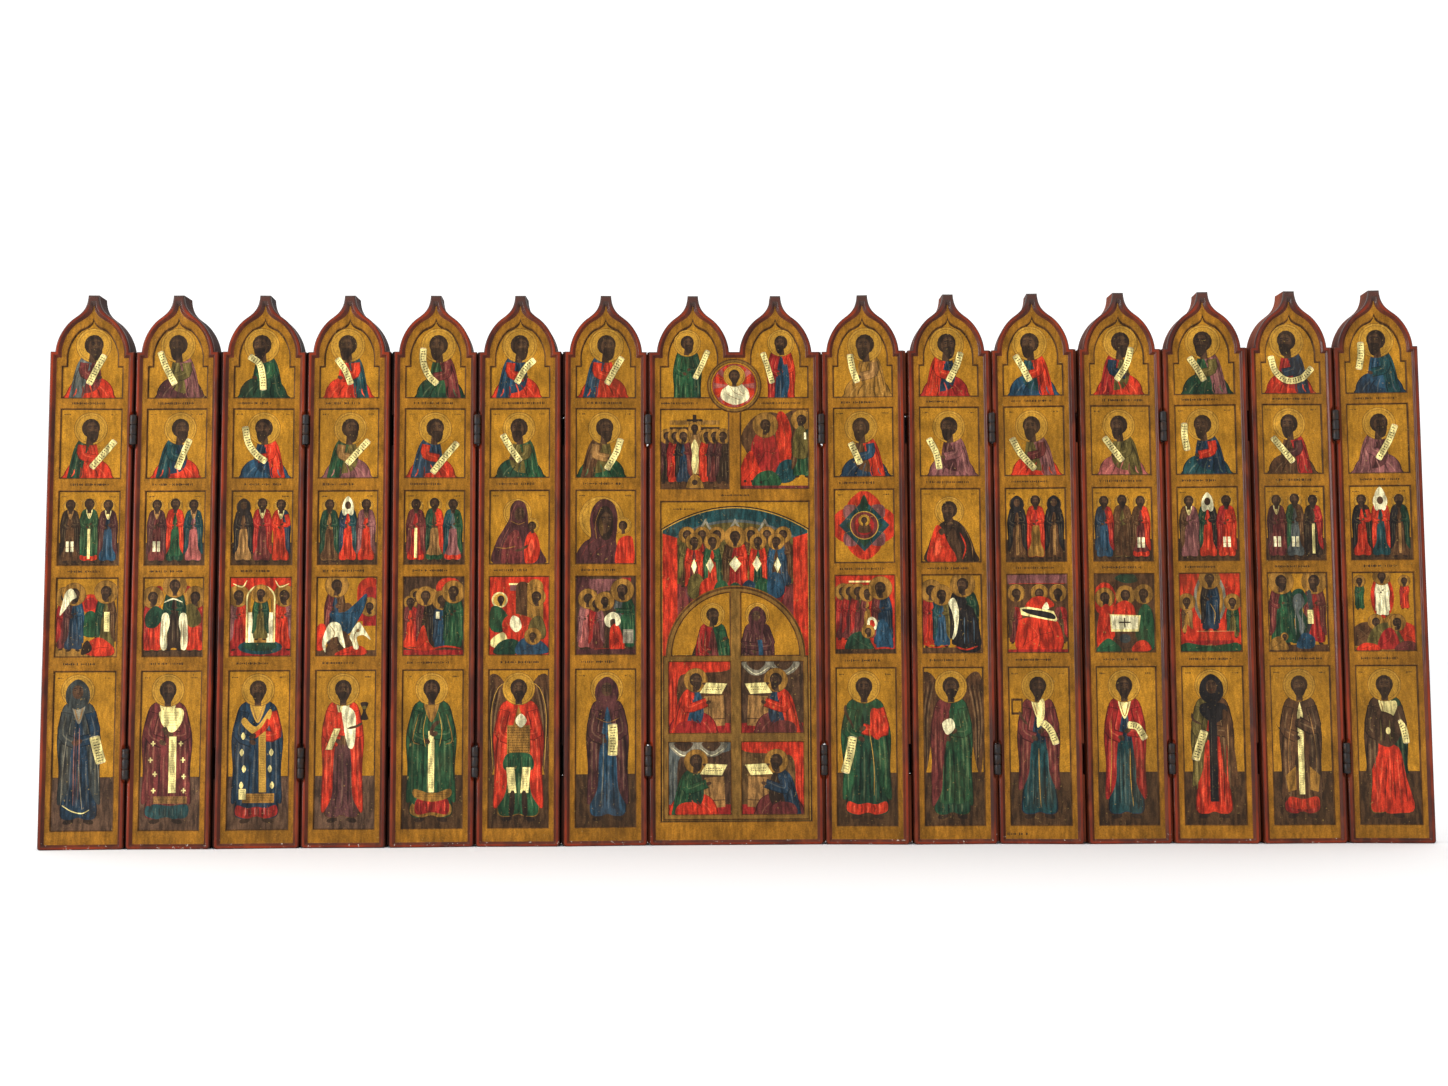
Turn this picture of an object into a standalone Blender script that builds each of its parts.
"""A folding travel icon: a double centre leaf between two wings of seven hinged wooden leaves."""

import math
from collections import namedtuple

import bmesh
import bpy
from mathutils import Vector
from mathutils.geometry import delaunay_2d_cdt

MM = 0.001

# The leaves
HEIGHT = 480 * MM
SHOULDER = 430 * MM
LEAF_WIDTH = 71.8 * MM
CENTRE_WIDTH = 150 * MM
THICKNESS = 22 * MM
EDGE_GAP = 2 * MM
WING_LEAVES = 7
CORNER = 2.2 * MM
INNER_CORNER = 0.44 * MM

# The keel arch on top of each leaf, with its neck and finial
ARCH_HALF = 31.8 * MM
ARCH_OFFSET = 36.4 * MM
FINIAL_HALF = 4.6 * MM
SPRING_LIFT = 0.8 * MM
TIP_HALF = 0.4 * MM
TIP_DROP = 9.5 * MM
FIELD_TIP_DROP = 21 * MM
FIELD_STEP = 7.3 * MM

# The keel arch's curve, in shares of its half width, of its two rises and of its neck
KNEE_REACH = 0.478
KNEE_RISE = 0.6
INNER_KNEE_RISE = 0.635
FIELD_KNEE_RISE = 0.72
CONVEX_REACHES = (0.965, 0.752)
CONVEX_RISES = (0.4, 0.8)
CONCAVE_START_REACH = 0.185
CONCAVE_END_REACH = 1.13
CONCAVE_RISES = (0.22, 0.425)

# The raised rim around the front and the sunk picture fields
RIM = 5.2 * MM
FOOT_RIM = 4.3 * MM
RIM_SLOPE = 2.3 * MM
RIM_DEPTH = 2.2 * MM
EDGE_ROUND = 1.2 * MM
BORDER = 4.4 * MM
FIELD_SLOPE = 0.7 * MM
FIELD_DEPTH = 1.0 * MM

# Picture rows from the top down: bands above the rows, then the rows, the last one down to its foot
TOP_ROW_DROP = 41 * MM
ROW_BANDS = (9 * MM, 10.6 * MM, 10.4 * MM, 12 * MM)
ROW_HEIGHTS = (61.4 * MM, 65 * MM, 68.6 * MM)
LAST_ROW_FOOT = 15.6 * MM
CENTRE_BANDS = (9.4 * MM, 10.5 * MM)
CENTRE_ROW_HEIGHT = 71.1 * MM
CENTRE_FIELD_FOOT = 19.7 * MM
CENTRE_MULLION = 9.6 * MM

# The medallion over the top of the centre leaf
MEDALLION_RADIUS = 23.8 * MM
MEDALLION_GAP = 1 * MM
MEDALLION_RING = 2.6 * MM
MEDALLION_RISE = 0.5 * MM
MEDALLION_SLOPE = 0.5 * MM
MEDALLION_HEIGHT = SHOULDER - RIM - MEDALLION_GAP - MEDALLION_RADIUS

# The raised mouldings of the door at the foot of the centre leaf
DOOR_SIDE_GAP = 1.6 * MM
DOOR_FOOT_GAP = 0.9 * MM
DOOR_RISE = 0.8 * MM
DOOR_BAR = 4.2 * MM
DOOR_MULLION = 8.6 * MM
DOOR_RAIL = 4.4 * MM
DOOR_FOOT_RAIL = 4.2 * MM
DOOR_MIDDLE_RAIL = 7 * MM
DOOR_MIDDLE = 92 * MM
DOOR_SPRING = 160.2 * MM
DOOR_ARCH_STEP = 2.6 * MM
DOOR_SLOPE = 0.6 * MM

# The iron hinges: front ones show their barrels, back ones are slimmer
BARREL_LENGTH = 26 * MM
FRONT_BARREL_RADIUS = 3 * MM
BACK_BARREL_RADIUS = 1.8 * MM
AXIS_PROUD = 0.6 * MM
UPPER_HINGE_DROP = 69 * MM
HINGE_HEIGHTS = {"lower": 72.5 * MM, "upper": SHOULDER - UPPER_HINGE_DROP}
PLATE_DEPTH = 14 * MM
PLATE_THICKNESS = 0.6 * MM
PLATE_CLEARANCE = 0.3 * MM
NOTCH_CLEARANCE = 0.5 * MM

# How far each wing's leaves are folded as it stands, in degrees: next to the centre, then the rest
LEFT_FOLDS = (2.5, 4.0)
RIGHT_FOLDS = (4.5, 5.0)

# Sides of the faceted round shapes
ROUND_SIDES = 8
CONVEX_STEPS = 4
CONCAVE_STEPS = 3
MEDALLION_SIDES = 20
DOOR_ARCH_STEPS = 14
SHARP_ANGLE = math.radians(50)

# Points closer than this are one point
MERGE = MM / 1000

# Colour, roughness and metallic share of the two materials
WOOD = ((0.49, 0.26, 0.05), 0.42, 0.15)
IRON = ((0.03, 0.028, 0.027), 0.5, 0.9)

Contour = namedtuple("Contour", "side foot ledge arch_half spring top neck knee corner")

OUTER = Contour(
    0, 0, SHOULDER, ARCH_HALF, SHOULDER + SPRING_LIFT, HEIGHT, FINIAL_HALF, KNEE_RISE, CORNER
)
INNER = Contour(
    RIM,
    FOOT_RIM,
    SHOULDER - RIM,
    ARCH_HALF - RIM,
    SHOULDER + SPRING_LIFT,
    HEIGHT - TIP_DROP,
    TIP_HALF,
    INNER_KNEE_RISE,
    INNER_CORNER,
)


def clear_scene():
    for item in list(bpy.data.objects):
        bpy.data.objects.remove(item, do_unlink=True)


def make_material(name, colour, roughness, metallic):
    material = bpy.data.materials.new(name)
    material.use_nodes = True
    shader = material.node_tree.nodes["Principled BSDF"]
    shader.inputs["Base Color"].default_value = (*colour, 1.0)
    shader.inputs["Roughness"].default_value = roughness
    shader.inputs["Metallic"].default_value = metallic
    return material


def add_object(name, mesh, material, parent, location, turn=0.0):
    item = bpy.data.objects.new(name, mesh)
    bpy.context.scene.collection.objects.link(item)
    if material:
        mesh.materials.append(material)
    item.parent = parent
    item.location = location
    item.rotation_euler.z = turn
    return item


def cubic(start, pull_a, pull_b, end, steps):
    """The points of a cubic curve after its start."""
    points = []
    for step in range(1, steps + 1):
        t = step / steps
        weights = ((1 - t) ** 3, 3 * t * (1 - t) ** 2, 3 * t * t * (1 - t), t**3)
        corners = zip(weights, (start, pull_a, pull_b, end))
        points.append(sum((weight * Vector(corner) for weight, corner in corners), Vector((0, 0))))
    return points


def keel_side(contour):
    """One side of a keel arch as (distance from its middle, height), from the ledge up to the tip."""
    half = contour.arch_half
    spring = contour.spring
    rise = contour.top - spring
    low = contour.knee * rise
    high = rise - low
    knee = (KNEE_REACH * half, spring + low)
    pulls = [(reach * half, spring + share * low) for reach, share in zip(CONVEX_REACHES, CONVEX_RISES)]
    convex = cubic((half, spring), *pulls, knee, CONVEX_STEPS)
    pull_out = (knee[0] - CONCAVE_START_REACH * half, knee[1] + CONCAVE_RISES[0] * high)
    pull_up = (CONCAVE_END_REACH * contour.neck, knee[1] + CONCAVE_RISES[1] * high)
    concave = cubic(knee, pull_out, pull_up, (contour.neck, contour.top), CONCAVE_STEPS)
    return [Vector((half, contour.ledge)), Vector((half, spring)), *convex, *concave]


def outline(contour, half_width, arch_centres):
    """A leaf's closed outline, anticlockwise seen from the front, with one keel arch at each centre."""
    edge = half_width - contour.side
    corner = contour.corner
    foot = contour.foot
    right = [(edge - corner, foot), (edge, foot + corner), (edge, contour.ledge)]
    left = [(-x, z) for x, z in reversed(right)]
    side = keel_side(contour)
    arches = []
    for centre in sorted(arch_centres, reverse=True):
        arches += [(centre + x, z) for x, z in side]
        arches += [(centre - x, z) for x, z in reversed(side)]
    return [Vector(point) for point in right + arches + left]


def keel_field(centre, half, grow):
    """The keel-arched top field, its slope's outer edge at grow 0 and its floor at grow 1."""
    shrink = grow * FIELD_SLOPE
    ledge = SHOULDER - RIM - FIELD_STEP - shrink
    contour = Contour(
        0,
        SHOULDER - TOP_ROW_DROP + shrink,
        ledge,
        ARCH_HALF - RIM - BORDER - shrink,
        SHOULDER - FIELD_STEP / 2,
        HEIGHT - FIELD_TIP_DROP - 2 * shrink,
        TIP_HALF,
        FIELD_KNEE_RISE,
        0,
    )
    side = keel_side(contour)
    right = [(half - shrink, contour.foot), (half - shrink, ledge)]
    points = [(centre + x, z) for x, z in right]
    points += [(centre + x, z) for x, z in side]
    points += [(centre - x, z) for x, z in reversed(side)]
    points += [(centre - x, z) for x, z in reversed(right)]
    return [Vector(point) for point in points]


def box_loop(left, right, foot, top, shrink=0.0):
    return [
        Vector((left + shrink, foot + shrink)),
        Vector((right - shrink, foot + shrink)),
        Vector((right - shrink, top - shrink)),
        Vector((left + shrink, top - shrink)),
    ]


def circle_loop(radius):
    turns = [2 * math.pi * step / MEDALLION_SIDES for step in range(MEDALLION_SIDES)]
    return [Vector((radius * math.cos(a), MEDALLION_HEIGHT + radius * math.sin(a))) for a in turns]


def sunk_box(left, right, foot, top):
    """The two loops of a sunk rectangular field: the edge of its slope and the edge of its floor."""
    return [
        (box_loop(left, right, foot, top), RIM_DEPTH),
        (box_loop(left, right, foot, top, FIELD_SLOPE), RIM_DEPTH + FIELD_DEPTH),
    ]


def sunk_keel(centre, half):
    return [
        (keel_field(centre, half, 0), RIM_DEPTH),
        (keel_field(centre, half, 1), RIM_DEPTH + FIELD_DEPTH),
    ]


def leaf_relief():
    """Loops with their depths behind the rim's crest, for the five fields of a narrow leaf."""
    half = LEAF_WIDTH / 2 - RIM - BORDER
    loops = sunk_keel(0, half)
    foot = SHOULDER - TOP_ROW_DROP
    for number, band in enumerate(ROW_BANDS):
        top = foot - band
        foot = top - ROW_HEIGHTS[number] if number < len(ROW_HEIGHTS) else LAST_ROW_FOOT
        loops += sunk_box(-half, half, foot, top)
    return loops


def door_outline(field_half, foot, grow):
    """The door's outer edge: a round arch that steps in a little above its square lower part."""
    shrink = grow * DOOR_SLOPE
    half = field_half - DOOR_SIDE_GAP - shrink
    radius = field_half - DOOR_SIDE_GAP - DOOR_ARCH_STEP - shrink
    spring = DOOR_SPRING + DOOR_RAIL / 2 - shrink
    points = [(half, foot + DOOR_FOOT_GAP + shrink), (half, spring)]
    for step in range(DOOR_ARCH_STEPS + 1):
        angle = math.pi * step / DOOR_ARCH_STEPS
        points.append((radius * math.cos(angle), spring + radius * math.sin(angle)))
    points += [(-half, spring), (-half, foot + DOOR_FOOT_GAP + shrink)]
    return [Vector(point) for point in points]


def door_quarter(side, radius, spring, grow):
    """One quarter field under the door's arch, on the right for side 1 and on the left for side -1."""
    shrink = grow * DOOR_SLOPE
    near = DOOR_MULLION / 2 + shrink
    foot = spring + shrink
    reach = radius - shrink
    low = math.asin((foot - spring) / reach)
    high = math.acos(near / reach)
    points = [(near, foot)]
    steps = DOOR_ARCH_STEPS // 2
    for step in range(steps + 1):
        angle = low + (high - low) * step / steps
        points.append((reach * math.cos(angle), spring + reach * math.sin(angle)))
    if side < 0:
        points = [(-x, z) for x, z in reversed(points)]
    return [Vector(point) for point in points]


def door_relief(field_half, foot, floor):
    """Loops of the door's raised bars, with six sunk fields between them."""
    top = floor - DOOR_RISE
    loops = [(door_outline(field_half, foot, 0), floor), (door_outline(field_half, foot, 1), top)]
    outer = field_half - DOOR_SIDE_GAP - DOOR_BAR
    near = DOOR_MULLION / 2
    spring = DOOR_SPRING + DOOR_RAIL / 2
    radius = field_half - DOOR_SIDE_GAP - DOOR_ARCH_STEP - DOOR_BAR
    rows = [
        (foot + DOOR_FOOT_GAP + DOOR_FOOT_RAIL, DOOR_MIDDLE - DOOR_MIDDLE_RAIL / 2),
        (DOOR_MIDDLE + DOOR_MIDDLE_RAIL / 2, DOOR_SPRING - DOOR_RAIL / 2),
    ]
    for low, high in rows:
        for left, right in ((-outer, -near), (near, outer)):
            loops.append((box_loop(left, right, low, high), top))
            loops.append((box_loop(left, right, low, high, DOOR_SLOPE), floor))
    for side in (-1, 1):
        loops.append((door_quarter(side, radius, spring, 0), top))
        loops.append((door_quarter(side, radius, spring, 1), floor))
    return loops


def centre_relief():
    """Loops of the centre leaf's fields and of its door."""
    half = CENTRE_WIDTH / 2 - RIM - BORDER
    near = CENTRE_MULLION / 2
    arch_half = half - ARCH_OFFSET
    loops = sunk_keel(-ARCH_OFFSET, arch_half) + sunk_keel(ARCH_OFFSET, arch_half)
    row_top = SHOULDER - TOP_ROW_DROP - CENTRE_BANDS[0]
    row_foot = row_top - CENTRE_ROW_HEIGHT
    loops += sunk_box(-half, -near, row_foot, row_top) + sunk_box(near, half, row_foot, row_top)
    loops += sunk_box(-half, half, CENTRE_FIELD_FOOT, row_foot - CENTRE_BANDS[1])
    loops += door_relief(half - FIELD_SLOPE, CENTRE_FIELD_FOOT + FIELD_SLOPE, RIM_DEPTH + FIELD_DEPTH)
    return loops


def inside(point, loop):
    """True where the point lies within the closed loop."""
    hit = False
    for a, b in zip(loop, loop[1:] + loop[:1]):
        if (a.y > point.y) != (b.y > point.y):
            if point.x < a.x + (point.y - a.y) * (b.x - a.x) / (b.y - a.y):
                hit = not hit
    return hit


def edge_distance(point, loop):
    """The distance from a point to the nearest edge of a closed loop."""
    best = math.inf
    for a, b in zip(loop, loop[1:] + loop[:1]):
        run = b - a
        share = max(0.0, min(1.0, (point - a).dot(run) / run.length_squared))
        best = min(best, (point - a - share * run).length)
    return best


def sunk_depth(point, slopes):
    """The depth at a free point, from the sloping edges of the sunk fields."""
    depth = RIM_DEPTH
    for loop in slopes:
        if inside(point, loop):
            share = min(1.0, edge_distance(point, loop) / FIELD_SLOPE)
            depth = max(depth, RIM_DEPTH + share * FIELD_DEPTH)
    return depth


def medallion_depth(point, base):
    """The depth at a point where the medallion's ring and flat middle stand over the base depth."""
    spread = Vector((point.x, point.y - MEDALLION_HEIGHT))
    sector = 2 * math.pi / MEDALLION_SIDES
    turn = math.atan2(spread.y, spread.x) % sector - sector / 2
    reach = spread.length * math.cos(turn) / math.cos(sector / 2)
    ring = RIM_DEPTH - MEDALLION_RISE
    if reach > MEDALLION_RADIUS - MEDALLION_SLOPE:
        share = min(1.0, (MEDALLION_RADIUS - reach) / MEDALLION_SLOPE)
        return base + max(0.0, share) * (ring - base)
    share = (MEDALLION_RADIUS - MEDALLION_RING - reach) / MEDALLION_SLOPE
    return ring + max(0.0, min(1.0, share)) * MEDALLION_RISE


def medallion_loops():
    """The edges of the medallion's ring, whose depths come from what lies under them."""
    inner = MEDALLION_RADIUS - MEDALLION_RING
    radii = (MEDALLION_RADIUS, MEDALLION_RADIUS - MEDALLION_SLOPE, inner, inner - MEDALLION_SLOPE)
    return [(circle_loop(radius), None) for radius in radii]


def front_faces(border, loops, medallion):
    """The front inside the rim: one triangulated sheet through every loop at its own depth."""
    points = list(border)
    depths = [RIM_DEPTH] * len(border)
    edges = []
    for loop, depth in loops + medallion:
        first = len(points)
        points += loop
        depths += [depth] * len(loop)
        edges += [(first + i, first + (i + 1) % len(loop)) for i in range(len(loop))]
    rim = [list(range(len(border)))]
    slopes = [loop for loop, depth in loops if depth == RIM_DEPTH]
    flat, _, triangles, sources, _, _ = delaunay_2d_cdt(points, edges, rim, 1, MERGE)
    vertices = []
    for point, source in zip(flat, sources):
        place = points[source[0]] if source else point
        depth = depths[source[0]] if source else None
        if depth is None:
            depth = sunk_depth(place, slopes)
        if medallion:
            depth = medallion_depth(place, depth)
        vertices.append((place, depth))
    return vertices, triangles


class Shell:
    """A mesh under construction that joins vertices at the same place."""

    def __init__(self):
        self.mesh = bmesh.new()
        self.known = {}

    def vertex(self, place, depth):
        key = tuple(round(value / MM, 3) for value in (place.x, depth, place.y))
        if key not in self.known:
            self.known[key] = self.mesh.verts.new((place.x, depth, place.y))
        return self.known[key]

    def face(self, corners):
        distinct = [v for i, v in enumerate(corners) if v is not corners[i - 1]]
        if len(distinct) > 2:
            self.mesh.faces.new(distinct)


def leaf_mesh(name, half_width, arch_centres, loops, medallion, shift):
    """A leaf: back, edges, rounded rim and carved front, moved so that its origin is where it turns."""
    outer = outline(OUTER, half_width, arch_centres)
    inner = outline(INNER, half_width, arch_centres)
    rings = [
        (0.0, THICKNESS),
        (0.0, EDGE_ROUND),
        (EDGE_ROUND / RIM, 0.0),
        (1 - RIM_SLOPE / RIM, 0.0),
        (1.0, RIM_DEPTH),
    ]
    shell = Shell()
    bands = []
    for share, depth in rings:
        bands.append([shell.vertex(a.lerp(b, share), depth) for a, b in zip(outer, inner)])
    shell.face(bands[0][::-1])
    for back, front in zip(bands, bands[1:]):
        for i in range(len(back)):
            shell.face([back[i - 1], back[i], front[i], front[i - 1]])
    vertices, triangles = front_faces(inner, loops, medallion)
    corners = [shell.vertex(place, depth) for place, depth in vertices]
    for triangle in triangles:
        shell.face([corners[i] for i in triangle])
    bmesh.ops.translate(shell.mesh, verts=shell.mesh.verts[:], vec=shift)
    mesh = bpy.data.meshes.new(name)
    shell.mesh.to_mesh(mesh)
    shell.mesh.free()
    return mesh


def barrel_radius(at_front):
    return FRONT_BARREL_RADIUS if at_front else BACK_BARREL_RADIUS


def axis_depth(at_front):
    """How far behind the rim's crest a hinge's axis lies."""
    return -AXIS_PROUD if at_front else THICKNESS + AXIS_PROUD


def cut_notches(leaf, name, places):
    """Scoop room for the hinge barrels out of a leaf's edges; places are (x, y, at_front)."""
    shape = bmesh.new()
    for x, y, at_front in places:
        radius = (barrel_radius(at_front) + NOTCH_CLEARANCE) / math.cos(math.pi / ROUND_SIDES)
        for height in HINGE_HEIGHTS.values():
            made = bmesh.ops.create_cone(
                shape,
                cap_ends=True,
                segments=ROUND_SIDES,
                radius1=radius,
                radius2=radius,
                depth=BARREL_LENGTH + 2 * NOTCH_CLEARANCE,
            )
            bmesh.ops.translate(shape, verts=made["verts"], vec=(x, y, height))
    mesh = bpy.data.meshes.new(name)
    shape.to_mesh(mesh)
    shape.free()
    cutter = add_object(name, mesh, None, leaf, (0, 0, 0))
    cutter.hide_render = True
    cutter.display_type = "WIRE"
    cut = leaf.modifiers.new("notches", "BOOLEAN")
    cut.operation = "DIFFERENCE"
    cut.solver = "EXACT"
    cut.object = cutter


def hinge_mesh(name, at_front, side):
    """A barrel with the plate that lies against the edge of the leaf it rides on, at side 1 or -1."""
    radius = barrel_radius(at_front)
    near = EDGE_GAP / 2 - PLATE_CLEARANCE - PLATE_THICKNESS
    far = near + PLATE_THICKNESS
    turns = [math.pi * (2 * step + 1) / ROUND_SIDES for step in range(ROUND_SIDES)]
    points = [(radius * math.cos(a), radius * math.sin(a)) for a in turns]
    flat = radius * math.cos(math.pi / ROUND_SIDES)
    first_left = ROUND_SIDES // 4
    points[first_left:first_left] = [(far, flat), (far, PLATE_DEPTH), (near, PLATE_DEPTH), (near, flat)]
    if not at_front:
        points = [(x, -y) for x, y in points]
    if side < 0:
        points = [(-x, y) for x, y in points]
    shape = bmesh.new()
    corners = [shape.verts.new((x, y, -BARREL_LENGTH / 2)) for x, y in points]
    foot = shape.faces.new(corners)
    made = bmesh.ops.extrude_face_region(shape, geom=[foot])
    raised = [item for item in made["geom"] if isinstance(item, bmesh.types.BMVert)]
    bmesh.ops.translate(shape, verts=raised, vec=(0, 0, BARREL_LENGTH))
    bmesh.ops.recalc_face_normals(shape, faces=shape.faces[:])
    mesh = bpy.data.meshes.new(name)
    shape.to_mesh(mesh)
    shape.free()
    mesh.shade_smooth()
    mesh.set_sharp_from_angle(angle=SHARP_ANGLE)
    return mesh


def add_hinges(name, leaf, x, y, at_front, side, iron):
    for level, height in HINGE_HEIGHTS.items():
        title = f"{name}_{level}"
        mesh = hinge_mesh(title, at_front, side)
        add_object(title, mesh, iron(title), leaf, (x, y, height))


def add_centre(stand, wood):
    """The double leaf, with its origin under the middle of its thickness."""
    half = CENTRE_WIDTH / 2
    shift = (0, -THICKNESS / 2, 0)
    arches = (-ARCH_OFFSET, ARCH_OFFSET)
    mesh = leaf_mesh("centre_leaf", half, arches, centre_relief(), medallion_loops(), shift)
    centre = add_object("centre_leaf", mesh, wood("centre_leaf"), stand, (0, 0, 0))
    reach = half + EDGE_GAP / 2
    y = axis_depth(True) - THICKNESS / 2
    cut_notches(centre, "centre_notches", [(-reach, y, True), (reach, y, True)])
    return centre, y


def add_wing(wing, side, folds, centre, first_axis, wood, iron):
    """Seven leaves, each hung from the last by hinges at the front and the back in turn."""
    half = LEAF_WIDTH / 2
    holder = centre
    x = side * (CENTRE_WIDTH + EDGE_GAP) / 2
    y = first_axis
    for number in range(1, WING_LEAVES + 1):
        at_front = number % 2 == 1
        add_hinges(f"{wing}_hinge_{number}", holder, x, y, at_front, -side, iron)
        name = f"{wing}_leaf_{number}"
        middle = side * (half + EDGE_GAP / 2)
        front = -axis_depth(at_front)
        mesh = leaf_mesh(name, half, (0,), leaf_relief(), [], (middle, front, 0))
        fold = math.radians(folds[0] if number == 1 else folds[1])
        turn = -side * fold if at_front else side * fold
        leaf = add_object(name, mesh, wood(name), holder, (x, y, 0), turn)
        x = side * (LEAF_WIDTH + EDGE_GAP)
        y = front + axis_depth(not at_front)
        places = [(0, 0, at_front)]
        if number < WING_LEAVES:
            places.append((x, y, not at_front))
        cut_notches(leaf, f"{name}_notches", places)
        holder = leaf


def centre_on_origin(stand):
    """Move the stand so that the whole object is centred over the origin."""
    bpy.context.view_layer.update()
    leaves = [item for item in bpy.data.objects if item.type == "MESH" and not item.hide_render]
    places = [item.matrix_world @ vertex.co for item in leaves for vertex in item.data.vertices]
    for axis in (0, 1):
        values = [place[axis] for place in places]
        stand.location[axis] -= (min(values) + max(values)) / 2
    bpy.context.view_layer.update()


def build():
    clear_scene()
    stand = bpy.data.objects.new("stand", None)
    bpy.context.scene.collection.objects.link(stand)

    def wood(name):
        return make_material(name, *WOOD)

    def iron(name):
        return make_material(name, *IRON)

    centre, first_axis = add_centre(stand, wood)
    add_wing("left", -1, LEFT_FOLDS, centre, first_axis, wood, iron)
    add_wing("right", 1, RIGHT_FOLDS, centre, first_axis, wood, iron)
    centre_on_origin(stand)


build()
